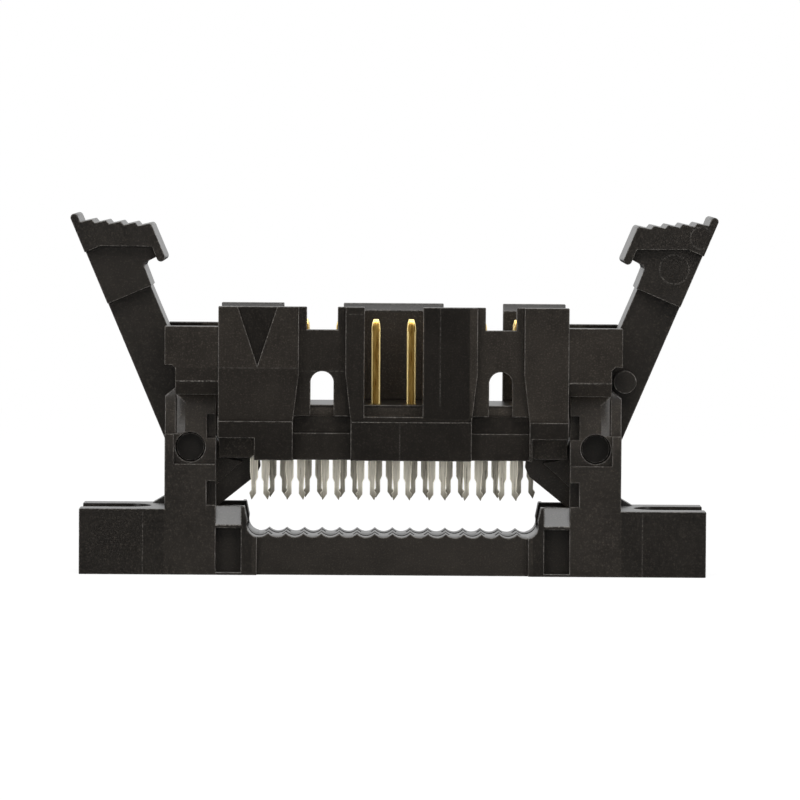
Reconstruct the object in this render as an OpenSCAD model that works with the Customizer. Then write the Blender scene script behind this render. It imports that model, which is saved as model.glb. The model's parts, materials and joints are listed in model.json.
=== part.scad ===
// Two-row box header for flat ribbon cable, with insulation-displacement
// contacts, a cable cover that stands on a mounting flange, and two pivoting
// latch levers. It is drawn as it is supplied: the header is held up in the
// first notches of the cover's legs, so that a cable can be laid in the
// trough, and both latches are swung open.
//
// Frame: X along the connector, Y through it (the marked face looks to -Y),
// Z up. The cover stands on Z = 0 and the middle of its base is the origin.

/* [Contacts] */
// Number of contact columns along the connector
columns = 8; // [8:1:14]
// Spacing of the contact columns
pitch = 2.54; // [2.5:0.01:2.8]
// Distance between the two contact rows
row_gap = 2.54; // [2.4:0.01:2.6]
// Side of the square contact pins
pin_w = 0.64; // [0.5:0.01:0.7]
// Height of the pins above the cavity floor
pin_h = 5.95; // [4:0.05:6.5]
// Thickness of the contact strip
strip_t = 0.35; // [0.25:0.01:0.42]
// Length of the tapered pin tips
pin_tip_h = 0.8; // [0.4:0.05:1]
// Reach of the fork tips below the header
fork_reach = 3.05; // [2.7:0.05:3.1]
// Half width of a fork at its root
fork_hw = 0.7; // [0.6:0.01:0.75]
// Width of the wire slit at the root of a fork
slit_w = 0.25; // [0.14:0.01:0.3]
// Width of the mouth of a fork, above its tips
mouth_w = 0.52; // [0.4:0.02:0.6]
// Gap between the contact and its slot in the header
contact_gap = 0.015; // [0.01:0.005:0.04]

/* [Header] */
// Length of header past the last contact column's cell
end_margin = 2.29; // [2.2:0.01:3]
// Half width of the mating cavity
cavity_hw = 3.2; // [3.15:0.01:3.5]
// Thickness of the shroud wall at its thinnest
wall_t = 0.7; // [0.6:0.05:1]
// Step from the thin wall out to the raised blocks
block_step = 0.45; // [0.3:0.05:0.7]
// Step from the blocks out to the lower body
ledge_step = 0.25; // [0.1:0.05:0.5]
// Thickness of the body under the cavity
floor_t = 3.9; // [3.6:0.05:4.5]
// Height of the shroud above the cavity floor
shroud_h = 7; // [6:0.1:8]
// Width of the polarising slot in the front wall
key_w = 4.14; // [3.8:0.02:4.6]
// Width of the recessed channels in the front wall
channel_w = 3.3; // [2.8:0.05:3.5]
// Width of the arched windows in the channels
window_w = 1.64; // [1.2:0.05:1.8]
// Width of the notches at the top of the channels
notch_w = 2.18; // [1.8:0.05:2.5]
// Width of the gaps in the rear wall
rear_gap_w = 4.3; // [3.8:0.05:4.6]
// Distance of the rear wall gaps from the middle
rear_gap_x = 5.77; // [5.4:0.01:6]
// Drop from the cavity floor to the ledge of the lower body
ledge_drop = 1.13; // [1:0.01:1.3]
// Drop from the cavity floor to the sills of the slot and windows
sill_drop = 0.78; // [0.7:0.01:0.9]
// Thickness of the shoulder cheeks beside the latches
cheek_t = 1.05; // [0.8:0.05:1.1]
// Height of the shoulder cheeks
cheek_h = 4.88; // [4.6:0.02:5.2]
// Drop from the top of the shroud to the cheeks
cheek_drop = 1.43; // [1.2:0.01:1.6]
// Height of the notch below the outer corner of a cheek
ear_h = 2.13; // [1.8:0.01:2.3]
// Width of the outer corner of a cheek
ear_w = 0.76; // [0.6:0.01:0.9]

/* [Cover] */
// Thickness of the base under the cable grooves
bar_t = 2.7; // [2.6:0.05:3]
// Radius of the cable grooves
groove_r = 0.85; // [0.8:0.01:1]
// Depth of the cable grooves
groove_d = 0.29; // [0.2:0.01:0.3]
// Half depth of the cover at its flanges and legs
cover_hd = 3.5; // [3.4:0.05:3.8]
// Setback of the grooved bar from the front of the legs
bar_back = 0.4; // [0.2:0.05:0.6]
// Thickness of the mounting flanges
flange_t = 4.7; // [4:0.05:5]
// Length of each flange beyond its leg
flange_l = 6.08; // [5.6:0.05:8]
// Width of the open mounting slots
slot_w = 3.2; // [2.8:0.05:3.6]
// Length of the mounting slots to the middle of their round end
slot_l = 3.4; // [3:0.05:3.8]
// Height of the guide blocks at the ends of the trough
block_h = 4.9; // [4.6:0.05:5]
// Width of the legs
leg_w = 3.66; // [3.6:0.02:4.2]
// Depth of the ramps on the front of the guide blocks
ramp_d = 0.9; // [0.6:0.05:1]
// Height of the ramps on the guide blocks
ramp_h = 1.35; // [1.2:0.05:1.5]
// Depth of the hollows below the ramps
hollow_d = 0.6; // [0.4:0.05:0.8]
// Thickness of the outer web between the plates of a leg
web_t = 0.4; // [0.3:0.05:0.5]

/* [Motion] */
// Travel from the raised header to the pressed header
press_travel = 4.75; // [4.6:0.01:4.9]
// Cable space left between groove and header once pressed
cable_gap = 0.83; // [0.7:0.01:1]
// Angle of the open latches from upright
open_angle = 23; // [15:0.5:25]
// Clearance between the header's ends and the legs
slide_gap = 0.15; // [0.12:0.01:0.2]
// Clearance where the pressed header seats on the cover
seat_gap = 0.2; // [0.15:0.01:0.3]
// Clearance of the latches between the leg plates
latch_gap = 0.15; // [0.1:0.01:0.2]
// Distance of the latch pivots from the inner side of the legs
pivot_inset = 1.85; // [1.8:0.01:2]
// Height of the latch pivots above the flanges
pivot_rise = 4.4; // [4.3:0.05:4.6]
// Height of the legs above the pivots
leg_rise = 4.25; // [4:0.05:4.3]

/* [Latch] */
// Radius of the latch pivot pins
pivot_r = 1; // [0.8:0.02:1.1]
// Setback of the pins from the faces of the leg
pin_back = 0.5; // [0.2:0.05:0.6]
// Radial clearance of the pivot pins
pivot_gap = 0.06; // [0.03:0.01:0.1]
// Half thickness of the latch arm between the leg plates
arm_hw = 2.05; // [1.9:0.05:2.1]
// Half thickness of the latch neck above the legs
neck_hw = 2.8; // [2.5:0.05:2.9]
// Half thickness of the latch head
head_hw = 3.3; // [3.2:0.05:3.6]
// Width of the latch arm seen from the front
arm_w = 3.3; // [3:0.05:3.4]
// Distance from the outer edge of the arm to the pivot
arm_out = 1.5; // [1.4:0.05:1.6]
// Height of the step from the arm out to the neck
neck_h = 11.65; // [11:0.05:12]
// Height of the cap on the latch head
cap_h = 2.85; // [2.6:0.05:3.2]
// Reach of the hook from the pivot towards the connector
hook_reach = 3.6; // [3.4:0.05:3.8]
// Height of the latch above its pivot
latch_h = 18.5; // [18:0.1:21]
// Number of grip teeth on the latch head
teeth = 5; // [4:1:6]
// Rise of each grip tooth
tooth_h = 0.26; // [0.15:0.01:0.4]
// Radius of the stop boss on the arm
boss_r = 0.81; // [0.6:0.01:0.85]
// Height of the stop boss above the pivot
boss_h = 5.22; // [5:0.02:5.4]

/* [Hidden] */
$fn = 64;
eps = 0.01;
row_y = row_gap / 2;
half_len = columns * pitch / 2 + end_margin;
wire_pitch = pitch / 2;

// Heights of the raised header
closed_z = bar_t + cable_gap;
body_z = closed_z + press_travel;
floor_z = body_z + floor_t;
top_z = floor_z + shroud_h;
ledge_z = floor_z - ledge_drop;
wall_z = floor_z - sill_drop;
cheek_top_z = top_z - cheek_drop;
cheek_z = cheek_top_z - cheek_h;
ear_z = cheek_z + ear_h;
recess_z = body_z + block_h - closed_z + seat_gap;

// Depths of the header
wall_y = cavity_hw + wall_t;
block_y = wall_y + block_step;
body_y = block_y + ledge_step;
cheek_y = cavity_hw + cheek_t;
under_y = cavity_hw + 0.3;

// Legs and their pivots
leg_in = half_len + slide_gap;
leg_out = leg_in + leg_w;
pivot_x = leg_in + pivot_inset;
pivot_z = flange_t + pivot_rise;
slot_hw = arm_hw + latch_gap;
plate_y = cavity_hw - 0.12;
ledge_leg_z = cheek_z - press_travel - seat_gap;
rail_z = ear_z - press_travel - seat_gap;
ear_x = leg_out - ear_w;
leg_top_z = pivot_z + leg_rise;
pit_z = closed_z - 0.25;
trough_x = half_len - end_margin;
guide_x = trough_x + 0.39;
ramp_x = guide_x + 0.26;
snap_x = slide_gap * 2 / 3;
snap_h = 1.4;
catch_d = 0.66;
catch_y = slot_hw + 0.4;
corner_x = trough_x - 0.28;

// Toe of the latch and its slot in the header
toe_hw = 0.68;
toe_gap = 0.12;
heel_hw = 1.3;
mark_d = 0.03;
toe_x = trough_x - 0.9;
heel_x = trough_x + 0.3;

BLACK = "#23211e";
DARK = "#2a2825";
GOLD = "#d8a838";

function contact_name(i) = str("contact_", i < 10 ? "0" : "", i);
function column_x(c) = (c - (columns - 1) / 2) * pitch;
function wire_x(w) = (w - (2 * columns - 1) / 2) * wire_pitch;
// The front row's forks reach to the wire on the left of their pin, and the
// rear row's to the wire on the right.
function fork_x(c, row) = column_x(c) + row * wire_pitch / 2;

// Extrudes an outline drawn in X and Z through the depths y0 to y1.
module slab(y0, y1) {
    translate([0, y1, 0]) rotate([90, 0, 0]) linear_extrude(y1 - y0) children();
}

module box(x0, x1, y0, y1, z0, z1) {
    translate([x0, y0, z0]) cube([x1 - x0, y1 - y0, z1 - z0]);
}

module both_ends() {
    children();
    mirror([1, 0, 0]) children();
}

module both_faces() {
    children();
    mirror([0, 1, 0]) children();
}

module round_y(r, y0, y1, x, z) {
    translate([x, y1, z]) rotate([90, 0, 0]) cylinder(r = r, h = y1 - y0);
}

// ---------------------------------------------------------------- contacts

barb_hw = fork_hw + 0.05;
mouth_z = 0.5 - fork_reach;

module tine() {
    polygon([
        [slit_w / 2, 0.35],
        [slit_w / 2, -1.45],
        [mouth_w / 2, -1.75],
        [mouth_w / 2, mouth_z - 0.05],
        [fork_hw - 0.12, -fork_reach],
        [barb_hw, mouth_z],
        [fork_hw - 0.11, mouth_z + 0.2],
        [fork_hw - 0.08, -1.7],
        [fork_hw, -1],
        [fork_hw, 0.35]
    ]);
}

strip_h = 1.9;
shoulder_z = strip_h - 0.2;

module contact(c, row) {
    x = column_x(c);
    y = row * row_y;
    fx = fork_x(c, row);
    color(GOLD) {
        // Fork and shoulder, stamped from one strip
        translate([fx, y, body_z]) slab(-strip_t / 2, strip_t / 2) {
            tine();
            mirror([1, 0]) tine();
            translate([-fork_hw, 0.34]) square([2 * fork_hw, strip_h - 0.34]);
        }
        // Square pin up into the cavity, with a tapered tip
        translate([x, y, 0]) {
            box(-pin_w / 2, pin_w / 2, -pin_w / 2, pin_w / 2,
                body_z + shoulder_z, floor_z + pin_h - pin_tip_h + eps);
            intersection() {
                slab(-pin_w, pin_w) pin_tip();
                rotate([0, 0, 90]) slab(-pin_w, pin_w) pin_tip();
            }
        }
    }
}

module pin_tip() {
    z = floor_z + pin_h;
    polygon([
        [-pin_w / 2, z - pin_tip_h], [-pin_w * 0.46, z - pin_tip_h * 0.45], [-pin_w * 0.3, z],
        [pin_w * 0.3, z], [pin_w * 0.46, z - pin_tip_h * 0.45], [pin_w / 2, z - pin_tip_h]
    ]);
}

// The room that one contact takes up in the header
module contact_room(c, row) {
    y = row * row_y;
    fx = fork_x(c, row);
    g = contact_gap;
    box(fx - fork_hw - g, fx + fork_hw + g, y - strip_t / 2 - g, y + strip_t / 2 + g,
        body_z - 1, body_z + strip_h + g);
    translate([column_x(c), y, 0])
        box(-pin_w / 2 - g, pin_w / 2 + g, -pin_w / 2 - g, pin_w / 2 + g,
            body_z + shoulder_z - g, floor_z + 1);
}

// ----------------------------------------------------------------- housing

mark_x = -half_len + 2.77;
channel_x = [-2 * pitch, 3 * pitch];
flare = 0.4;
flare_z = ledge_z + 3.35;

module channel_outline(x) {
    w = channel_w / 2;
    polygon([
        [x - w - flare, ledge_z - 1], [x + w + flare, ledge_z - 1],
        [x + w + flare, ledge_z], [x + w, flare_z], [x + w, top_z + 1],
        [x - w, top_z + 1], [x - w, flare_z], [x - w - flare, ledge_z]
    ]);
}

module shroud_half() {
    // Thin wall, its raised face and a lead-in on the inner top edge
    rotate([90, 0, -90]) translate([0, 0, -half_len]) linear_extrude(2 * half_len)
        polygon([
            [cavity_hw, ledge_z - 0.1], [block_y, ledge_z - 0.1],
            [block_y, top_z], [cavity_hw + 0.35, top_z],
            [cavity_hw, top_z - 0.5]
        ]);
}

module front_cuts() {
    // Polarising slot, open from the top down to the shelf
    box(-key_w / 2, key_w / 2, -body_y - 1, -cavity_hw + eps, wall_z, top_z + 1);
    for (x = channel_x) {
        // Channel down the outer face, flared towards the ledge
        slab(-body_y - 1, -wall_y) channel_outline(x);
        // Undercut below the channel, in two steps
        slab(-body_y - 1, -under_y) intersection() {
            channel_outline(x);
            translate([x - pitch, ledge_z - 0.85])
                square([2 * pitch, wall_z - ledge_z + 0.85]);
        }
        // Arched window, cut down through the foot of the thin wall
        slab(-wall_y - 1, -cavity_hw + eps) {
            translate([x - window_w / 2, wall_z])
                square([window_w, floor_z - wall_z + 1.7]);
            translate([x, floor_z + 1.6]) circle(window_w / 2);
        }
        box(x - notch_w / 2, x + notch_w / 2, -body_y - 1, -cavity_hw + eps,
            top_z - 1.63, top_z + 1);
    }
    // Pin 1 mark
    slab(-block_y - 1, -block_y + 0.2) polygon([
        [mark_x - 1.4, top_z + eps], [mark_x + 1.4, top_z + eps],
        [mark_x, top_z - 4.2]
    ]);
}

module lower_body() {
    box(-half_len, half_len, -body_y, body_y, body_z, ledge_z);
    box(-half_len, half_len, -block_y, block_y, ledge_z - 1, wall_z);
    box(-half_len, half_len, -cavity_hw - eps, cavity_hw + eps, wall_z - 1, floor_z);
}

module lower_cuts() {
    // Recessed panels below the channels and the rear gaps
    for (x = channel_x) slab(-body_y - 1, -under_y - 0.3)
        translate([x - channel_w / 2 - flare, body_z - 1])
            square([channel_w + 2 * flare, ledge_z - 0.85 - body_z + 1]);
    for (side = [-1, 1]) slab(under_y + 0.3, body_y + 1)
        translate([side * rear_gap_x - rear_gap_w / 2, body_z - 1])
            square([rear_gap_w, ledge_z - body_z + 1 + eps]);
    // Grooves that grip the cable from above, closed at both faces by a flat lip
    for (w = [0:2 * columns - 1])
        round_y(groove_r, -cavity_hw, cavity_hw, wire_x(w), body_z - groove_r + groove_d);
    both_ends() {
        // Corners that clear the cover's guide blocks
        both_faces() box(corner_x, half_len + 1, slot_hw - latch_gap, body_y + 1,
                         body_z - 1, recess_z);
        // Slots for the latch toe and heel
        box(heel_x, half_len + 1, -heel_hw - toe_gap, heel_hw + toe_gap,
            body_z - 1, floor_z + 1);
        box(toe_x, half_len + 1, -toe_hw - toe_gap, toe_hw + toe_gap,
            body_z - 1, floor_z + 1);
    }
}

module cheek() {
    difference() {
        slab(cavity_hw, cheek_y) polygon([
            [half_len - 0.5, cheek_z], [ear_x, cheek_z], [ear_x, ear_z - 0.23],
            [ear_x + 0.25, ear_z], [leg_out, ear_z], [leg_out, cheek_top_z],
            [half_len - 0.5, cheek_top_z]
        ]);
        // Chamfer under the cheek
        translate([half_len - 1, cheek_y - 0.55, cheek_z]) rotate([0, 90, 0])
            linear_extrude(leg_w + 2) polygon([[1, 0], [0, 0], [-1, 0.55 + eps], [-1, 2], [1, 2]]);
    }
}

module housing() {
    color(BLACK) difference() {
        union() {
            difference() {
                union() {
                    shroud_half();
                    mirror([0, 1, 0]) shroud_half();
                }
                front_cuts();
                for (side = [-1, 1])
                    box(side * rear_gap_x - rear_gap_w / 2, side * rear_gap_x + rear_gap_w / 2,
                        cavity_hw - eps, body_y + 1, wall_z, top_z + 1);
            }
            difference() {
                lower_body();
                for (x = channel_x) slab(-body_y - 1, -under_y) intersection() {
                    channel_outline(x);
                    translate([x - pitch, ledge_z - 0.85]) square([2 * pitch, 5]);
                }
            }
            both_ends() both_faces() {
                cheek();
                // Snap bead that rides in the notches of the leg
                box(half_len - eps, half_len + snap_x, catch_y + 0.1, plate_y - 0.1,
                    recess_z + 0.05, recess_z + 0.05 + snap_h);
            }
        }
        lower_cuts();
        for (c = [0:columns - 1], row = [-1, 1]) contact_room(c, row);
    }
}

// ------------------------------------------------------------------- cover

pocket_hw = barb_hw + 0.14;

module cover_end() {
    // Flange and the foot of the leg
    box(trough_x - 0.5, leg_out + flange_l, -cover_hd, cover_hd, 0, bar_t);
    box(leg_in, leg_out + flange_l, -cover_hd, cover_hd, 0, flange_t);
    // Guide block with a slanted wall towards the trough
    slab(-cover_hd, cover_hd) polygon([
        [trough_x - 0.5, 0], [leg_in + eps, 0], [leg_in + eps, block_h],
        [guide_x, block_h], [trough_x, bar_t + groove_d], [trough_x - 0.5, bar_t + groove_d]
    ]);
    both_faces() leg_plate();
    // Outer web that ties the two plates of the leg together
    box(leg_out - web_t, leg_out, -cover_hd, cover_hd, 0, ledge_leg_z - 0.7);
    // Gusset behind the leg
    slab(slot_hw, cover_hd) polygon([
        [leg_out - 0.3, flange_t - 0.5], [leg_out + 1.2, flange_t - 0.5], [leg_out + 1.1, flange_t],
        [leg_out, flange_t + 0.65], [leg_out - 0.3, flange_t + 0.65]
    ]);
}

module leg_plate() {
    // Full thickness up to the ledge where the pressed cheek seats
    box(leg_in, leg_out, slot_hw, cover_hd, 0, ledge_leg_z);
    // Outer rail, one step higher
    box(ear_x + 0.1, leg_out, slot_hw, cover_hd, 0, rail_z);
    // Thin upper plate with a lead-in at its top and a cut outer corner
    intersection() {
        slab(slot_hw, plate_y) polygon([
            [leg_in, 0], [leg_out, 0], [leg_out, leg_top_z - 0.6],
            [ear_x, leg_top_z], [leg_in, leg_top_z]
        ]);
        translate([leg_in - 1, 0, 0]) rotate([90, 0, 90]) linear_extrude(leg_w + 2) polygon([
            [slot_hw, 0], [plate_y, 0], [plate_y, leg_top_z - 1.1],
            [plate_y - 0.5, leg_top_z], [slot_hw, leg_top_z]
        ]);
    }
}

module leg_cuts() {
    // Pivot hole through both plates
    round_y(pivot_r + pivot_gap, -cover_hd - 1, cover_hd + 1, pivot_x, pivot_z);
    // Slot between the plates for the latch, and the pit for its toe
    box(guide_x - 0.4, leg_out - web_t, -slot_hw, slot_hw, pit_z, leg_top_z + 1);
    // Catch notches one travel apart, sunk into the outer side of the plates
    for (z = [recess_z, recess_z - press_travel])
        both_faces() box(leg_in - 1, leg_in + catch_d, catch_y, cover_hd + 1,
                         z - 0.1, z + snap_h + 0.2);
    both_faces() {
        // Slanted facet down the upper plate, next to the rail
        translate([0, 0, rail_z]) linear_extrude(leg_top_z - rail_z + 1) polygon([
            [ear_x - 0.7, plate_y], [ear_x, plate_y - 0.3], [ear_x, plate_y + 1],
            [ear_x - 0.7, plate_y + 1]
        ]);
        // Set back the rail above its step
        box(ear_x, leg_out + 1, plate_y - 0.15, plate_y + 1, rail_z, leg_top_z + 1);
        // Ramp on the guide block and the hollow below it
        translate([ramp_x, 0, 0]) rotate([90, 0, 90]) linear_extrude(leg_in - ramp_x) {
            polygon([
                [cover_hd + eps, block_h - ramp_h], [cover_hd - ramp_d, block_h + eps],
                [cover_hd + ramp_d, block_h + ramp_h], [cover_hd + ramp_d, block_h - ramp_h]
            ]);
            translate([cover_hd - hollow_d, 0.2])
                square([2 * hollow_d, block_h - ramp_h - 0.4]);
        }
    }
}

module flange_slot() {
    x = leg_out + flange_l - slot_l;
    translate([x, 0, -1]) cylinder(d = slot_w, h = flange_t + 2);
    box(x, x + slot_l + 1, -slot_w / 2, slot_w / 2, -1, flange_t + 1);
}

module cover() {
    color(DARK) difference() {
        union() {
            box(-trough_x - 0.3, trough_x + 0.3, -cover_hd + bar_back, cover_hd - bar_back,
                0, bar_t + groove_d);
            both_ends() cover_end();
        }
        // Cable grooves
        for (w = [0:2 * columns - 1])
            round_y(groove_r, -cover_hd - 1, cover_hd + 1, wire_x(w), bar_t + groove_r);
        // Pockets that take the fork tips when the header is pressed down
        for (c = [0:columns - 1], row = [-1, 1])
            translate([fork_x(c, row), row * row_y, 0])
                box(-pocket_hw, pocket_hw, -strip_t / 2 - 0.17, strip_t / 2 + 0.17,
                    closed_z - fork_reach - 0.25, block_h + 1);
        both_ends() {
            leg_cuts();
            flange_slot();
        }
    }
}

// ----------------------------------------------------------------- latches
// Drawn upright about the pivot, with +X towards the connector.

arm_in = arm_w - arm_out;
cap_z = latch_h - cap_h;
throat_z = cap_z - 2.3;
lip_w = 0.6;
grip_x = 0.5 - arm_out;
tooth_l = (hook_reach - grip_x) / teeth;
grip_drop = 0.5;

module arm_outline() {
    polygon([
        [-arm_out, 0], [arm_in, -0.3], [arm_in, neck_h + 0.1],
        [-arm_out, neck_h + 0.1]
    ]);
    circle(1.72);
}

module neck_outline() {
    polygon([
        [-arm_out, neck_h], [arm_in + 0.1, neck_h], [arm_in + 0.15, throat_z - 0.2],
        [arm_in + 0.28, throat_z - 0.05], [arm_in + 0.5, throat_z],
        [hook_reach - lip_w, throat_z + 0.05], [hook_reach - lip_w, cap_z + 0.1],
        [-arm_out, cap_z + 0.1]
    ]);
}

// Line through the feet of the grip teeth
function grip_z(x) = latch_h - 0.72 - grip_drop * (x - grip_x);

module head_outline() {
    outer = arm_out + 0.05;
    thumb_r = (grip_x + outer) / 2;
    thumb_z = latch_h - thumb_r;
    // Cap with saw teeth along its sloping top
    polygon(concat(
        [[-outer, cap_z], [-outer, thumb_z], [grip_x, thumb_z]],
        [for (i = [0:teeth - 1]) each [
            [grip_x + i * tooth_l, grip_z(grip_x + i * tooth_l)],
            [grip_x + (i + 0.9) * tooth_l, grip_z(grip_x + (i + 0.9) * tooth_l) + tooth_h]
        ]],
        [[hook_reach, grip_z(hook_reach) + tooth_h / 2], [hook_reach, cap_z - 0.5],
         [hook_reach - lip_w, cap_z - 1.45], [1.2 - outer, cap_z]]
    ));
    // Round thumb tip
    translate([grip_x - thumb_r, thumb_z]) circle(thumb_r);
    // Lip that hooks over the mating connector
    translate([hook_reach - lip_w, throat_z - 0.1]) square([lip_w, 2.1]);
    translate([hook_reach - lip_w / 2, throat_z - 0.1]) circle(lip_w / 2);
}

module heel_outline() {
    polygon([
        [-1.3, -1], [-0.2, -3.4], [0.64, -3.27], [2.95, -2.48],
        [arm_in, -1.7], [arm_in, -0.2], [0, 0.5]
    ]);
}

module toe_outline() {
    polygon([
        [-0.3, -3], [-0.1, -4.8], [2.95, -3.95], [3.45, -3.8], [3.95, -3.35],
        [4.15, -2.7], [3.7, -2], [arm_in, -1.75], [arm_in - 1, -1]
    ]);
}

module latch_upright() {
    slab(-arm_hw, arm_hw) arm_outline();
    slab(-neck_hw, neck_hw) neck_outline();
    slab(-head_hw, head_hw) head_outline();
    slab(-heel_hw, heel_hw) heel_outline();
    slab(-toe_hw, toe_hw) toe_outline();
    // Pivot pins, set back from the leg's face
    round_y(pivot_r, pin_back - plate_y, plate_y - pin_back, 0, 0);
    // Stop boss that rests on the corner of one leg plate when open
    round_y(boss_r, 0, cavity_hw - 0.2, 0, boss_h);
}

// Shallow ejector marks, one on the cap and one on the neck
module ejector_marks() {
    round_y(0.78, head_hw - mark_d, head_hw + 1, -0.78, cap_z + 1.15);
    round_y(1, neck_hw - mark_d, neck_hw + 0.2, 0, cap_z - 1.65);
}

module latch(side) {
    color(BLACK) rotate([0, 0, side < 0 ? 0 : 180])
        translate([-pivot_x, 0, pivot_z]) rotate([0, -open_angle, 0]) difference() {
            latch_upright();
            ejector_marks();
        }
}

module latch_left() { latch(-1); }
module latch_right() { latch(1); }

cover();
housing();
latch_left();
latch_right();
for (c = [0:columns - 1], row = [-1, 1])
    contact(c, row);
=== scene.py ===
# %% [markdown]
# A box header for flat ribbon cable, dressed for its portrait. The exact
# solids arrive from the CAD frame: a cable cover with two mounting flanges, a
# moulded housing that slides down on it, two latch levers and sixteen
# insulation-displacement contacts. This script gives them softened moulded
# edges, procedural plastics and metals, a camera and a small white studio.
# Each dressed piece keeps the place and the body of its solid, so the same
# script also looks right with the header pressed down and the latches shut.

# %% Open the frame
import bmesh
import bpy
import json
import math
from mathutils import Matrix, Vector


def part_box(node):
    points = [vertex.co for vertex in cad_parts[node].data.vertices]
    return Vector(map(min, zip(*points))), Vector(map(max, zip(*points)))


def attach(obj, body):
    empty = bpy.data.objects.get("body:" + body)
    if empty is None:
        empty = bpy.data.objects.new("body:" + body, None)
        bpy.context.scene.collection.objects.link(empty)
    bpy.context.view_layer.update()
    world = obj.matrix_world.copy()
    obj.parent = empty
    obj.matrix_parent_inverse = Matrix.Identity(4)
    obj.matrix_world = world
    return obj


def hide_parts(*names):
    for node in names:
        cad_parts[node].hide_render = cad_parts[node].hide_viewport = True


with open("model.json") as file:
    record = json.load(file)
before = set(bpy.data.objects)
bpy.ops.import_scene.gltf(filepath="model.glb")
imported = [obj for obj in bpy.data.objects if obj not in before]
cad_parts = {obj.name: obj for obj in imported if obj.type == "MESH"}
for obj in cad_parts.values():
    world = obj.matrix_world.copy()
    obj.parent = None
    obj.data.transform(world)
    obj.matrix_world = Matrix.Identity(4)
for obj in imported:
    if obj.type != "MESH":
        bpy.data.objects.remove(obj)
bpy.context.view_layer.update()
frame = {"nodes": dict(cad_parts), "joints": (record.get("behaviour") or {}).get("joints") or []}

# %% Sizes read from the frame
MM = 0.001


def box_in_mm(node):
    """The low and the high corner of a CAD node's box, in millimetres."""
    return [Vector(corner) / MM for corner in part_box(node)]


COVER, HOUSING, LATCH = [box_in_mm(n) for n in ("cover", "housing", "latch_right")]
hinge = next(j for j in frame["joints"] if j["name"] == "right_latch_pivot")
PIVOT = Vector(hinge["pos_m"]) / MM
OPEN_ANGLE = hinge["range_deg"][1]
print("housing is", [round(s, 2) for s in HOUSING[1] - HOUSING[0]], "mm;",
      "latches turn at", [round(s, 2) for s in PIVOT], "by", OPEN_ANGLE, "degrees")

# %% [markdown]
# A connector a few centimetres long is best shown from far away with a long
# lens, so that its walls stay parallel. An orthographic camera would also
# keep them parallel, but then the inner walls would show no trace of their
# depth. So a perspective camera stands a third of a metre off and a little
# above the part, and looks down just enough to show the tops of the flanges.

# %% Camera
def aim_camera(place, yaw, pitch, roll, lens):
    """Makes the scene's camera; the angles are in degrees, from a level look along +Y."""
    data = bpy.data.cameras.new("studio_camera")
    data.lens = lens
    data.sensor_width = 36
    data.clip_start, data.clip_end = 0.01, 20
    data.dof.use_dof = False
    camera = bpy.data.objects.new("studio_camera", data)
    camera.location = place
    camera.rotation_mode = "QUATERNION"
    turn = (Matrix.Rotation(math.radians(yaw), 4, "Z")
            @ Matrix.Rotation(math.radians(90 + pitch), 4, "X")
            @ Matrix.Rotation(math.radians(roll), 4, "Z"))
    camera.rotation_quaternion = turn.to_quaternion()
    bpy.context.scene.collection.objects.link(camera)
    bpy.context.scene.camera = camera
    return camera


camera = aim_camera(Vector((-1.09, -363.2, 32.4)) * MM, yaw=-0.248, pitch=-3.156,
                    roll=0.386, lens=228)
print("camera stands", round(COVER[0].y - camera.location.y / MM), "mm before the cover")

# %% [markdown]
# Every surface here, from the paper of the studio to the gold of the pins, is
# a small tree of shader nodes. Such trees can be drawn by hand in the shader
# editor, but written as code they are easy to repeat and to change. A few
# helpers keep the code short: one starts an empty material, one adds a node
# with its settings and links, and the others wrap the nodes used most.

# %% Helpers for node trees
def new_material(name):
    """An empty node material: the material, its tree and its output."""
    material = bpy.data.materials.new(name)
    material.use_nodes = True
    tree = material.node_tree
    tree.nodes.clear()
    return material, tree, tree.nodes.new("ShaderNodeOutputMaterial")


def add_node(tree, kind, inputs=None, **settings):
    """A node with its settings; an input is a value or another node's output."""
    node = tree.nodes.new("ShaderNode" + kind)
    for key, value in settings.items():
        setattr(node, key, value)
    for key, value in (inputs or {}).items():
        if isinstance(value, bpy.types.NodeSocket):
            tree.links.new(value, node.inputs[key])
        else:
            node.inputs[key].default_value = value
    return node


def maths(tree, operation, *values):
    """The result of one operation on up to three numbers."""
    return add_node(tree, "Math", dict(enumerate(values)), operation=operation).outputs[0]


def remap(tree, value, start, end, low, high, curve="LINEAR"):
    """Goes from low to high as the value goes from start to end, and stops there."""
    return add_node(tree, "MapRange", {"Value": value, "From Min": start, "From Max": end,
                                       "To Min": low, "To Max": high},
                    interpolation_type=curve).outputs[0]


def mix_numbers(tree, share, first, second):
    """Goes from the first number to the second as share goes from 0 to 1."""
    return add_node(tree, "Mix", {0: share, 2: first, 3: second},
                    data_type="FLOAT").outputs[0]


def mix_colours(tree, share, first, second):
    """Goes from the first colour to the second as share goes from 0 to 1."""
    return add_node(tree, "Mix", {0: share, 6: first, 7: second},
                    data_type="RGBA").outputs[2]


print("node helpers:", [helper.__name__ for helper in (new_material, add_node, maths,
                                                       remap, mix_numbers, mix_colours)])

# %% Helpers for textures
def noise(tree, place, scale, detail, roughness):
    """A noise from 0 to 1, with about as many patches to the metre as scale says."""
    return add_node(tree, "TexNoise", {"Vector": place, "Scale": scale, "Detail": detail,
                                       "Roughness": roughness}).outputs["Fac"]


def shade(colour, factor=1.0):
    """A colour made lighter or darker, with full alpha."""
    return (*[factor * c for c in colour], 1)


def two_tones(tree, value, start, end, dark, light):
    """A ramp from dark to light as the value goes from start to end."""
    ramp = add_node(tree, "ValToRGB", {"Fac": value})
    first, second = ramp.color_ramp.elements
    first.position, first.color = start, dark
    second.position, second.color = end, light
    return ramp.outputs[0]


print("texture helpers:", [helper.__name__ for helper in (noise, shade, two_tones)])

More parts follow.
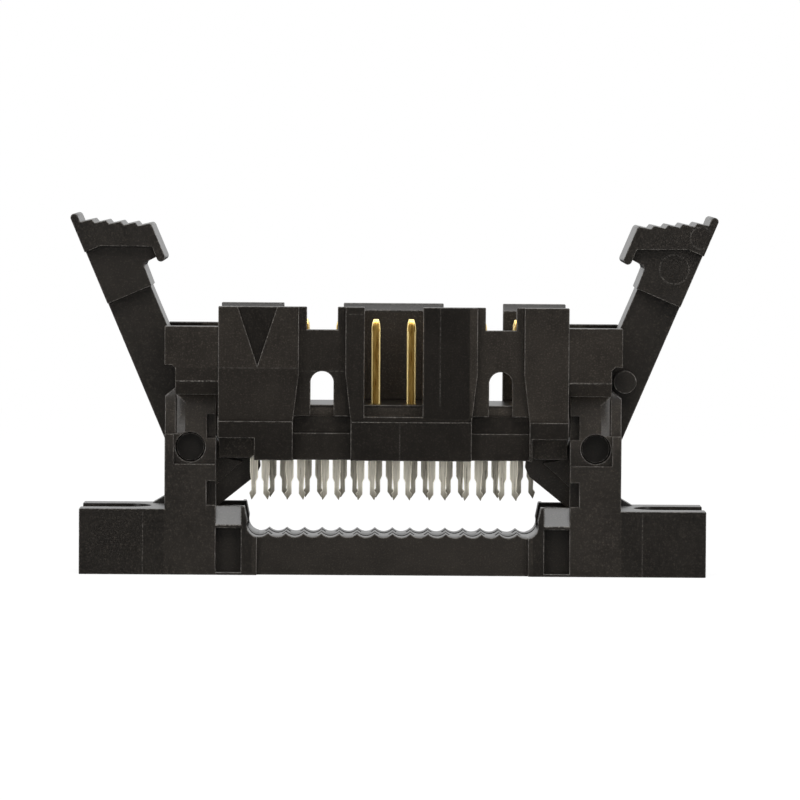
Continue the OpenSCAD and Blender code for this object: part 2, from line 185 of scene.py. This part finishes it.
# %% [markdown]
# The studio is a white sweep: a floor that curves up into a backdrop, as a
# roll of paper hangs in a product studio. A plane with a wall behind it would
# show a line where they meet. Here one edge is extruded along the floor, spun
# round a quarter turn and extruded up, so floor and wall share a smooth
# corner. It reaches far enough that a camera can walk round the part.

# %% Studio floor and backdrop
def push_edges(bm, edges, vec):
    """Extrudes edges along vec and gives the new ones."""
    made = bmesh.ops.extrude_edge_only(bm, edges=edges)["geom"]
    verts = [g for g in made if isinstance(g, bmesh.types.BMVert)]
    bmesh.ops.translate(bm, verts=verts, vec=vec)
    return [g for g in made if isinstance(g, bmesh.types.BMEdge)
            and all(v in verts for v in g.verts)]


def studio_sweep(depth, width, height, radius):
    """A floor with a wall behind it, joined by a quarter round."""
    bm = bmesh.new()
    front = bm.edges.new([bm.verts.new((x, -depth, 0)) for x in (-width, width)])
    back = push_edges(bm, [front], (0, 2 * depth, 0))
    spun = bmesh.ops.spin(bm, geom=back, cent=(0, depth, radius), axis=(1, 0, 0),
                          angle=math.pi / 2, steps=16)["geom_last"]
    push_edges(bm, [g for g in spun if isinstance(g, bmesh.types.BMEdge)],
               (0, 0, height))
    bmesh.ops.recalc_face_normals(bm, faces=bm.faces)
    mesh = bpy.data.meshes.new("studio_floor")
    bm.to_mesh(mesh)
    bm.free()
    for polygon in mesh.polygons:
        polygon.use_smooth = True
    sweep = bpy.data.objects.new("studio_floor", mesh)
    bpy.context.scene.collection.objects.link(sweep)
    return sweep


floor = studio_sweep(depth=0.55, width=1.2, height=0.9, radius=0.25)
print("floor spans", [round(x, 2) for x in floor.dimensions], "m")

# %% [markdown]
# White paper under soft light would come out grey, and more light on it would
# wash out the part. So the paper glows by itself where the camera looks at it
# straight, and close to the part a little less, which leaves room for the
# contact shadow. Shiny faces see the paper too. There it is a dark card near
# the part, of the kind that keeps black plastic black in a studio, and white
# further off, so that metal and slanted faces still mirror a bright room.

# %% White paper
NEAR_FLOOR = 0.07  # glow of the paper in reflections, beside the part
SEEN_GLOW = 0.88   # share of its full glow that the camera sees, beside the part


def paper_white():
    """Matte white paper that looks pure white, and is a dark card to reflections nearby."""
    material, tree, out = new_material("paper_white")
    paper = add_node(tree, "BsdfDiffuse", {"Color": shade((0.82, 0.82, 0.82))})
    place = add_node(tree, "TexCoord")
    away = add_node(tree, "VectorMath", {0: place.outputs["Object"]},
                    operation="LENGTH").outputs["Value"]
    mirrored_glow = remap(tree, away, 0.3, 0.5, NEAR_FLOOR, 1.0, "SMOOTHSTEP")
    seen_share = remap(tree, away, 0.05, 0.2, SEEN_GLOW, 1.0, "SMOOTHSTEP")
    path = add_node(tree, "LightPath").outputs
    level = mix_numbers(tree, path["Is Camera Ray"], mirrored_glow, 1.0)
    glow = add_node(tree, "Emission", {"Color": (1, 1, 1, 1), "Strength": level})
    mirrored = maths(tree, "MAXIMUM", path["Is Glossy Ray"], path["Is Transmission Ray"])
    straight = maths(tree, "MULTIPLY", path["Is Camera Ray"], seen_share)
    mix = add_node(tree, "MixShader", {0: maths(tree, "MAXIMUM", straight, mirrored),
                                       1: paper.outputs[0], 2: glow.outputs[0]})
    tree.links.new(mix.outputs[0], out.inputs["Surface"])
    return material


floor.data.materials.append(paper_white())
print("floor material:", floor.data.materials[0].name)

# %% [markdown]
# Black plastic is shown by what it mirrors, so a few broad lamps do more for
# it than many small ones. A wide softbox hangs overhead and a little in front,
# and its reflection runs along every slanted face. Two weak ones at the sides
# draw the upright rounds. Area lamps are used, because a sun or a spot would
# give hard shadows and no broad reflection.

# %% Lamps
def softbox(name, place, target, size, watts):
    """A rectangular lamp that faces its target."""
    data = bpy.data.lights.new(name, "AREA")
    data.shape = "RECTANGLE"
    data.size, data.size_y = size
    data.energy = watts
    lamp = bpy.data.objects.new(name, data)
    lamp.location = place
    lamp.rotation_mode = "QUATERNION"
    lamp.rotation_quaternion = (Vector(target) - Vector(place)).to_track_quat("-Z", "Y")
    bpy.context.scene.collection.objects.link(lamp)
    return lamp


middle = (0, 0, 0.012)
softbox("overhead_softbox", (0, -0.28, 0.47), middle, (0.6, 0.24), 4.0)
for name, side in (("left_softbox", -1), ("right_softbox", 1)):
    softbox(name, (side * 0.42, -0.42, 0.09), middle, (0.16, 0.17), 0.9)

# %% [markdown]
# The rest of the light comes from the room. It is white where the camera sees
# it, but the side behind the camera stays dim, as in a real studio, so that
# black plastic stays black when it is seen face on. An image of a room would
# add its own colours. A plain ramp along Y is enough, once for soft light and
# once, much steeper, for reflections.

# %% Surroundings
def studio_world():
    """White where it is seen; dim towards the camera's side, bright behind the part."""
    world = bpy.data.worlds.new("studio_room")
    world.use_nodes = True
    tree = world.node_tree
    tree.nodes.clear()
    out = tree.nodes.new("ShaderNodeOutputWorld")
    place = add_node(tree, "TexCoord")
    along = add_node(tree, "SeparateXYZ", {0: place.outputs["Generated"]}).outputs["Y"]
    room = remap(tree, along, -0.5, 0.5, 0.55, 1.0)
    mirrored = remap(tree, along, -0.3, 0.6, 0.04, 1.0)
    path = add_node(tree, "LightPath").outputs
    level = mix_numbers(tree, path["Is Glossy Ray"], room, mirrored)
    level = mix_numbers(tree, path["Is Camera Ray"], level, 1.0)
    light = add_node(tree, "Background", {"Color": (1, 1, 1, 1), "Strength": level})
    tree.links.new(light.outputs[0], out.inputs["Surface"])
    return world


bpy.context.scene.world = studio_world()
bpy.context.scene.view_settings.view_transform = "Standard"
print("world:", bpy.context.scene.world.name)

# %% [markdown]
# Glass-filled polyester looks black, but it is a very dark warm brown. Its
# skin shows a soft mottle, specks of glass fibre and faint streaks along the
# way that the tool opens. An image could carry all that, but it would need
# unwrapping. Noises on object coordinates don't, and they stay fixed to each
# piece as it moves. One noise is stretched along the draw, the others are even.

# %% Skin of the plastic
BLACK = (0.0060, 0.0050, 0.0040)
LATCH_BLACK = [1.15 * c for c in BLACK]


def skin_noises(tree, place, streak_tilt):
    """Streaks turned by some degrees from the upright, fine speckle and a soft mottle."""
    turned = add_node(tree, "Mapping", {"Vector": place,
                                        "Rotation": (0, math.radians(streak_tilt), 0)})
    drawn = add_node(tree, "Mapping", {"Vector": turned.outputs[0],
                                       "Scale": (8000, 8000, 500)})
    return (noise(tree, drawn.outputs[0], 1.0, 3.0, 0.6),
            noise(tree, place, 9000, 2.0, 0.7),
            noise(tree, place, 330, 3.0, 0.55))


def skin_colour(tree, tone, streaks, speckle, mottle):
    """Dark resin, a little paler in its streaks and at its glass fibres."""
    resin = two_tones(tree, mottle, 0.3, 0.72, shade(tone, 0.35), shade(tone, 1.5))
    streaked = mix_colours(tree, streaks, resin, shade(tone, 1.7))
    fibre = remap(tree, speckle, 0.53, 0.75, 0.0, 1.0)
    return mix_colours(tree, fibre, streaked, shade(tone, 4.2))


print("resin tones:", BLACK, [round(c, 4) for c in LATCH_BLACK])

# %% [markdown]
# Some faces carry painted light and shade: they are drawn paler or darker than
# the rest, to stand in for how the light falls on them. Faces deep in the
# cavity, in the recesses and under the cheeks are painted paler, lifted out of
# their shade, and insets such as the pin 1 mark and the ends of the pivot pins
# carry painted shade. A material for each would have to follow the faces of
# the mesh. Boxes in the object's own space are simpler: each one says where it
# lies and how much paler its faces are.

# %% Painted light and shade on faces
def inside_box(tree, axes, low, high):
    """1 inside the box between two corners in millimetres, else 0."""
    mask = 1.0
    for axis, start, end in zip("XYZ", low, high):
        within = maths(tree, "COMPARE", axes[axis], (start + end) / 2 * MM,
                       (end - start) / 2 * MM)
        mask = maths(tree, "MULTIPLY", within, mask)
    return mask


def painted_light_gain(tree, axes, painted_light_boxes):
    """How much of its tone each place keeps: 1, and the painted light or shade that its boxes
    add to that.
    """
    gain = 1.0
    for low, high, more in painted_light_boxes:
        gain = maths(tree, "MULTIPLY_ADD", inside_box(tree, axes, low, high), more, gain)
    return gain


FRONT = HOUSING[0].y - 0.1


def faces_within(left, right, low, high, more, front=FRONT, back=0.0):
    """A box in millimetres, from the front to the middle, whose faces get painted light: paler
    by more, or painted shade where more is below 0.
    """
    return (left, front, low), (right, back, high), more


print("boxes start at", round(FRONT, 2), "mm")

# %% Faces of the housing
FOOT, TOP, END = HOUSING[0].z - 0.1, HOUSING[1].z + 0.1, HOUSING[1].x + 0.1
LEDGE = HOUSING[1].z - 8.13        # top of the wider lower body
TOOL_SPLIT = HOUSING[1].z - 4.36   # line across the left block
MARK_FLOOR = HOUSING[0].y + 0.45   # bottom of the pin 1 mark
# Painted light and shade: boxes that make the housing's blocks, its lower body and its recesses
# paler or darker
HOUSING_PAINTED_LIGHT = [
    faces_within(-END, -6.5, LEDGE, TOOL_SPLIT, 0.2),
    faces_within(-END, -6.5, TOOL_SPLIT, TOP, 0.5),
    faces_within(-13.0, -8.0, TOOL_SPLIT - 0.3, TOP, -0.7,
                 front=MARK_FLOOR - 0.01, back=MARK_FLOOR + 0.01),
    faces_within(-END, END, FOOT, LEDGE, -0.2, back=-4.5),
    faces_within(2.2, 5.4, LEDGE + 0.25, TOP, -0.3, back=-4.3),
    faces_within(8.7, END, LEDGE, TOP, 0.6),
    faces_within(-6.5, -3.4, LEDGE + 0.45, TOP, 0.15),
    faces_within(5.4, 8.7, LEDGE + 0.45, TOP, 0.65),
    # Painted light that lifts the shade inside the cavity and inside the corner recesses
    faces_within(-13.9, 13.9, LEDGE + 1.25, TOP - 0.68, 1.2, front=0.0, back=3.25),
    faces_within(-END, END, FOOT, LEDGE + 0.95, 1.2, front=-3.3)]
print("housing:", len(HOUSING_PAINTED_LIGHT), "boxes, ledge at", round(LEDGE, 2), "mm")

# %% Faces of the cover and the latches
LEG = (12.6, 16.3)  # inner and outer side of a leg, from the middle
LEG_FRONT, LEG_TOP = COVER[0].y - 0.1, COVER[1].z + 0.1
# Painted light on the legs, most on their upper part in the shade of the cheeks, and on the bar
COVER_PAINTED_LIGHT = [
    faces_within(-LEG[1], -LEG[0], 0, PIVOT.z, 0.35, LEG_FRONT),
    faces_within(LEG[0], LEG[1], 0, PIVOT.z, 0.5, LEG_FRONT),
    faces_within(-LEG[1], -LEG[0], PIVOT.z, LEG_TOP, 0.85, LEG_FRONT),
    faces_within(LEG[0], LEG[1], PIVOT.z, LEG_TOP, 0.95, LEG_FRONT),
    faces_within(-10.0, 10.0, 0, 3.0, 0.5, LEG_FRONT)]


def latch_painted_light(side):
    """Painted shade on the ends of a latch's pivot pin, and painted light on the faces inside
    its toe and heel.
    """
    x = side * PIVOT.x
    pin = faces_within(x - 1.03, x + 1.03, PIVOT.z - 1.03, PIVOT.z + 1.03, -0.45,
                       front=LEG_FRONT, back=-LEG_FRONT)
    inner = faces_within(x - 6, x + 6, PIVOT.z - 5.1, PIVOT.z + 3.9, 1.0,
                         front=-1.9, back=1.9)
    return [pin, inner]


print("cover:", len(COVER_PAINTED_LIGHT), "boxes; each latch:", len(latch_painted_light(1)))

# %% [markdown]
# Where two inserts of the tool meet, they leave a hairline on the part, and
# the pins that push a latch out of its mould leave rings. Their height is a
# few hundredths of a millimetre, too little to model at this scale. So the
# material draws them, from the distance to a plane or to a point, as pale lines:
# the painted highlight that their tiny steps would catch.

# %% Hairlines and rings left by the tool
HAIRLINE, RING = 0.04, 0.06  # half widths in millimetres


def split_line(tree, axes, axis, level, across, reach):
    """A hairline at one level of an axis, where the other axis lies within reach."""
    on = maths(tree, "COMPARE", axes[axis], level * MM, HAIRLINE * MM)
    near = maths(tree, "COMPARE", axes[across], (reach[0] + reach[1]) / 2 * MM,
                 (reach[1] - reach[0]) / 2 * MM)
    return maths(tree, "MULTIPLY", on, near)


def ring_mark(tree, axes, centre, radius, facing, depth):
    """A ring on the face that looks along facing times Y, depth from the middle."""
    flat = add_node(tree, "CombineXYZ", {0: axes["X"], 2: axes["Z"]})
    away = add_node(tree, "VectorMath", {0: flat.outputs[0], 1: centre * MM},
                    operation="DISTANCE").outputs["Value"]
    on = maths(tree, "COMPARE", away, radius * MM, RING * MM)
    side = maths(tree, "MULTIPLY", axes["Y"], facing)
    at_face = maths(tree, "GREATER_THAN", side, (depth - 0.1) * MM)
    return maths(tree, "MULTIPLY", on, at_face)


print("hairlines are", 2 * HAIRLINE, "mm wide, rings", 2 * RING, "mm")

# %% Where the hairlines and rings are
HOUSING_LINES = [("Z", TOOL_SPLIT, "X", (-12.57, -6.73)),
                 ("Z", TOOL_SPLIT - 0.22, "X", (-6.73, -3.43)),
                 ("Z", HOUSING[1].z - 0.52, "X", (-3.3, -2.1)),
                 ("X", 3.3, "Z", (LEDGE + 1.15, HOUSING[1].z - 0.08)),
                 ("X", 0.46, "Z", (HOUSING[0].z, LEDGE - 0.05))]
COVER_LINES = [("X", side * (COVER[1].x - 4.54), "Z", (0, 4.6)) for side in (-1, 1)]


def latch_rings(side):
    """The two rings of a latch; it stands open, so they lean with it."""
    hub = Vector((side * PIVOT.x, 0, PIVOT.z))
    lean = Matrix.Rotation(math.radians(side * OPEN_ANGLE), 3, "Y")
    head = hub + lean @ Vector((side * 0.86, 0, 16.78))
    neck = hub + lean @ Vector((side * 0.02, 0, 13.97))
    return [(head, 0.78, -side, LATCH[1].y), (neck, 1.04, -side, LATCH[1].y - 0.5)]


print("hairlines:", len(HOUSING_LINES) + len(COVER_LINES),
      "rings at", [[round(x, 2) for x in ring[0]] for ring in latch_rings(1)])

# %% [markdown]
# The fine pale lines that the lamps draw along the outer edges are painted
# here as highlights, a pale tone in the colour. Such highlights are often
# painted from the curvature of the surface, but that depends on the renderer.
# Here the rounds carry an attribute, written when the edges are softened below,
# and the painted highlight reads it. A noise breaks it up, and it fades deep
# between the walls, where no light reaches. The tool's marks take the same pale tone.

# %% Painted highlights on the edges
# Pale tone of the painted highlight on rounded edges and tool marks
EDGE_HIGHLIGHT = (0.09, 0.083, 0.075)
# How strongly the tool marks take the painted highlight
TOOL_MARK_SHARE = 0.4
REACHED_DEPTH = (1.9, 2.1)  # millimetres from the middle; the painted highlight fades inside this


def painted_highlight_share(tree, place, axes, tool_marks):
    """How much of the painted highlight shows: on rounded edges, hairlines and rings."""
    broken = remap(tree, noise(tree, place, 6500, 3.0, 0.7), 0.44, 0.64, 0.05, 1.0)
    reached = remap(tree, maths(tree, "ABSOLUTE", axes["Y"]), REACHED_DEPTH[0] * MM,
                    REACHED_DEPTH[1] * MM, 0.12, 1.0)
    edge = add_node(tree, "Attribute", attribute_name="highlight_edge").outputs["Fac"]
    share = maths(tree, "MULTIPLY", maths(tree, "MULTIPLY", edge, reached), broken)
    for mark in tool_marks:
        faint = maths(tree, "MULTIPLY", maths(tree, "MULTIPLY", mark, broken),
                      TOOL_MARK_SHARE)
        share = maths(tree, "MAXIMUM", share, faint)
    return share


print("edge highlight tone:", EDGE_HIGHLIGHT)

# %% [markdown]
# The four mouldings share one recipe: the skin, made paler or darker by the
# painted light and shade of its boxes, and over it the painted highlight of the
# edges. The streaks and the speckle also steer a slight change in gloss and a
# very shallow bump, so that the skin isn't only painted on. One material for
# all would be less to keep, but each moulding's streaks follow its own draw:
# upright on the housing, level on the cover and along the arm on the latches.
# So one function makes a material for each.

# %% Moulded plastic
def moulded_plastic(name, tone, streak_tilt=0.0, gloss=0.3, shine=0.42, lines=(),
                    painted_light_boxes=(), rings=()):
    """Near-black glass-filled plastic; streak_tilt turns the drawn streaks, in degrees."""
    material, tree, out = new_material(name)
    place = add_node(tree, "TexCoord").outputs["Object"]
    axes = add_node(tree, "SeparateXYZ", {0: place}).outputs
    streaks, speckle, mottle = skin_noises(tree, place, streak_tilt)
    # The skin's colour, scaled by the painted light and shade of the boxes
    lit_skin = add_node(tree, "VectorMath",
                     {0: skin_colour(tree, tone, streaks, speckle, mottle),
                      "Scale": painted_light_gain(tree, axes, painted_light_boxes)}, operation="SCALE")
    tool_marks = [split_line(tree, axes, *line) for line in lines]
    tool_marks += [ring_mark(tree, axes, *ring) for ring in rings]
    colour = mix_colours(tree, painted_highlight_share(tree, place, axes, tool_marks),
                         lit_skin.outputs[0], shade(EDGE_HIGHLIGHT))
    rough = remap(tree, streaks, 0.25, 0.75, gloss, gloss + 0.04)
    height = mix_numbers(tree, 0.85, streaks, speckle)
    bump = add_node(tree, "Bump", {"Height": height, "Strength": 0.1,
                                   "Distance": 0.02 * MM})
    skin = add_node(tree, "BsdfPrincipled", {"Base Color": colour, "Roughness": rough,
                                             "Normal": bump.outputs[0],
                                             "Specular IOR Level": shine})
    tree.links.new(skin.outputs[0], out.inputs["Surface"])
    return material


PLASTIC = {
    "housing": moulded_plastic("housing_black", BLACK, shine=0.25, lines=HOUSING_LINES,
                               painted_light_boxes=HOUSING_PAINTED_LIGHT),
    "cover": moulded_plastic("cover_black", BLACK, 90, lines=COVER_LINES,
                             painted_light_boxes=COVER_PAINTED_LIGHT)}
for name, side in (("left", -1), ("right", 1)):
    PLASTIC["latch_" + name] = moulded_plastic(
        name + "_latch_black", LATCH_BLACK, -side * OPEN_ANGLE,
        painted_light_boxes=latch_painted_light(side), rings=latch_rings(side))
print("plastics:", sorted(m.name for m in PLASTIC.values()))

# %% [markdown]
# Moulded edges are never knife sharp, and a tiny round is what draws a black
# part against black: it catches the lamps as a fine line. A Bevel modifier
# could round the edges, but it can't tell outer edges from inner ones, or see
# where a round has no room. So each solid is copied into a bmesh, its loose
# triangles are merged and the flat ones dissolved into whole faces, and the
# bevel operator rounds the edges that are chosen.

# %% Copies with whole faces
def merged_copy(node):
    """A bmesh of a CAD node with whole faces instead of loose triangles."""
    bm = bmesh.new()
    bm.from_mesh(frame["nodes"][node].data)
    bmesh.ops.remove_doubles(bm, verts=bm.verts, dist=0.013 * MM)
    bmesh.ops.dissolve_limit(bm, angle_limit=math.radians(1.5), verts=bm.verts,
                             edges=bm.edges)
    return bm


trial = merged_copy("housing")
print("housing:", len(frame["nodes"]["housing"].data.polygons), "triangles become",
      len(trial.faces), "faces")
trial.free()

# %% Soft moulded edges
def crowded(edge, width):
    """True where a corner of a neighbouring face lies inside the edge's round."""
    start, end = (vert.co for vert in edge.verts)
    along = end - start
    for face in edge.link_faces:
        for vert in face.verts:
            share = (vert.co - start).dot(along) / along.length_squared
            if 0.02 < share < 0.98 and (start + share * along - vert.co).length < width:
                return True
    return False


def soften(bm, width, crease=25, chosen=None):
    """Rounds the outer edges that turn by more than crease degrees, and marks them for the
    painted highlight.
    """
    layers = bm.faces.layers.float
    highlight_layer = layers.get("highlight_edge") or layers.new("highlight_edge")
    sharp = [e for e in bm.edges if e.is_manifold and e.is_convex
             and e.calc_face_angle(0) > math.radians(crease)
             and min(f.calc_area() for f in e.link_faces) > 1.6 * width * e.calc_length()
             and not crowded(e, 1.1 * width)
             and (chosen is None or chosen(e))]
    made = bmesh.ops.bevel(bm, geom=sharp, offset=width, offset_type="OFFSET",
                           affect="EDGES", segments=2, profile=0.5, material=-1,
                           clamp_overlap=False)
    for face in made["faces"]:
        face[highlight_layer] = 1.0
    for edge in bm.edges:
        turn = edge.calc_face_angle(0)
        beside_round = any(face[highlight_layer] > 0 for face in edge.link_faces)
        edge.smooth = turn < math.radians(35 if beside_round else 12)
    return len(sharp)


MOULDED_ROUND = 0.06
print("moulded edges get a round of", MOULDED_ROUND, "mm")

# %% [markdown]
# Smooth shading would bend the light on the large flat faces, because their
# corners share normals with the rounds. Splitting the mesh would stop that,
# but would open its seams. A Weighted Normal modifier keeps it closed and lets
# the large faces win. Each finished piece then rides on its body, takes its
# material slot and stands for its CAD node.

# %% The four mouldings
BODY_OF = {"cover": "base", "housing": "header",
           "latch_left": "left_lever", "latch_right": "right_lever"}


def finish_piece(name, bm, material, node, body):
    """Turns the bmesh into the piece that stands for a CAD node."""
    mesh = bpy.data.meshes.new(name)
    bm.to_mesh(mesh)
    bm.free()
    mesh.materials.append(material)
    for polygon in mesh.polygons:
        polygon.use_smooth = True
    piece = bpy.data.objects.new(name, mesh)
    weighted = piece.modifiers.new("flat_faces_first", "WEIGHTED_NORMAL")
    weighted.mode, weighted.weight, weighted.keep_sharp = "FACE_AREA", 90, True
    bpy.context.scene.collection.objects.link(piece)
    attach(piece, body)
    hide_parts(node)
    return piece


for node, body in BODY_OF.items():
    bm = merged_copy(node)
    rounded = soften(bm, MOULDED_ROUND * MM)
    piece = finish_piece("moulded_" + node, bm, PLASTIC[node], node, body)
    print(piece.name, "rounds", rounded, "edges,", len(piece.data.polygons), "faces")

# %% [markdown]
# A contact is stamped from copper alloy strip. The square pin that mates is
# gold plated and the fork that pierces the cable is tinned; towards its tips the
# fork is drawn darker. Three materials would need the mesh cut where they meet.
# One material that reads the height is simpler, because the gold ends inside
# the housing floor, where nobody sees it. Rolling lines run up the strip, and
# the edges are brighter than the faces: burnished metal and a painted highlight.

# %% Contact metal
# Dark lines, light lines and bright edges of each plating; the bright edges are burnished metal
# and a painted highlight
GOLD = ((0.50, 0.24, 0.04), (1.0, 0.66, 0.18), (1.0, 0.80, 0.36))
TIN = ((0.44, 0.41, 0.34), (0.72, 0.68, 0.58), (0.95, 0.90, 0.76))
# Darker tone that the fork takes towards its tips
TIP_DARK_TONE = (0.10, 0.085, 0.055)


def plating(tree, lines, edge, tones):
    """A metal's colour, from its dark and light lines and its bright edges, which carry a
    painted highlight.
    """
    dark, light, bright = [shade(tone) for tone in tones]
    return mix_colours(tree, edge, two_tones(tree, lines, 0.35, 0.7, dark, light), bright)


def contact_metal(floor_z, tip_z):
    """Gold above floor_z, tin below it, drawn darker over the last millimetre towards the tips
    at tip_z.
    """
    material, tree, out = new_material("contact_metal")
    place = add_node(tree, "TexCoord").outputs["Object"]
    height = add_node(tree, "SeparateXYZ", {0: place}).outputs["Z"]
    drawn = add_node(tree, "Mapping", {"Vector": place, "Scale": (9000, 9000, 500)})
    lines = noise(tree, drawn.outputs[0], 1.0, 4.0, 0.65)
    edge = add_node(tree, "Attribute", attribute_name="highlight_edge").outputs["Fac"]
    gilt = remap(tree, height, (floor_z - 1.2) * MM, (floor_z - 0.9) * MM, 0.0, 1.0)
    toward_tip = remap(tree, height, tip_z * MM, (tip_z + 1.0) * MM, 0.85, 0.0)
    colour = mix_colours(tree, gilt, plating(tree, lines, edge, TIN),
                         plating(tree, lines, edge, GOLD))
    colour = mix_colours(tree, toward_tip, colour, shade(TIP_DARK_TONE))
    metallic = mix_numbers(tree, edge, remap(tree, gilt, 0.0, 1.0, 0.45, 0.95), 0.6)
    rough = mix_numbers(tree, edge, remap(tree, lines, 0.2, 0.8, 0.22, 0.4), 0.5)
    bump = add_node(tree, "Bump", {"Height": lines, "Strength": 0.2,
                                   "Distance": 0.01 * MM})
    metal = add_node(tree, "BsdfPrincipled", {"Base Color": colour, "Metallic": metallic,
                                              "Roughness": rough,
                                              "Normal": bump.outputs[0]})
    tree.links.new(metal.outputs[0], out.inputs["Surface"])
    return material


CAVITY_DEPTH = 7.0
CAVITY_FLOOR = HOUSING[1].z - CAVITY_DEPTH
FORK_TIP = box_in_mm("contact_01")[0].z
pin_metal = contact_metal(CAVITY_FLOOR, FORK_TIP)
print("cavity floor at", round(CAVITY_FLOOR, 2), "mm, fork tips at",
      round(FORK_TIP, 2), "mm")

# %% [markdown]
# The pins have clearly rounded corners, rolled before plating, and the forks
# only the small burnished edge of a stamping. One width for both would either
# leave the pins square or eat the fine fork tips. So the long upright corners
# are softened first, and then every other edge that turns by more than half a
# right angle, by half as much.

# %% The sixteen contacts
PIN_ROUND, STAMPED_ROUND = 0.1, 0.05
CONTACTS = sorted(n for n in frame["nodes"] if n.startswith("contact_"))


def is_pin_corner(edge):
    """True for the four long upright corners of a contact's square pin."""
    return edge.calc_length() > 3 * MM


for node in CONTACTS:
    bm = merged_copy(node)
    soften(bm, PIN_ROUND * MM, chosen=is_pin_corner)
    soften(bm, STAMPED_ROUND * MM, crease=50)
    finish_piece("stamped_" + node, bm, pin_metal, node, "header")
print("contacts dressed:", len(CONTACTS))
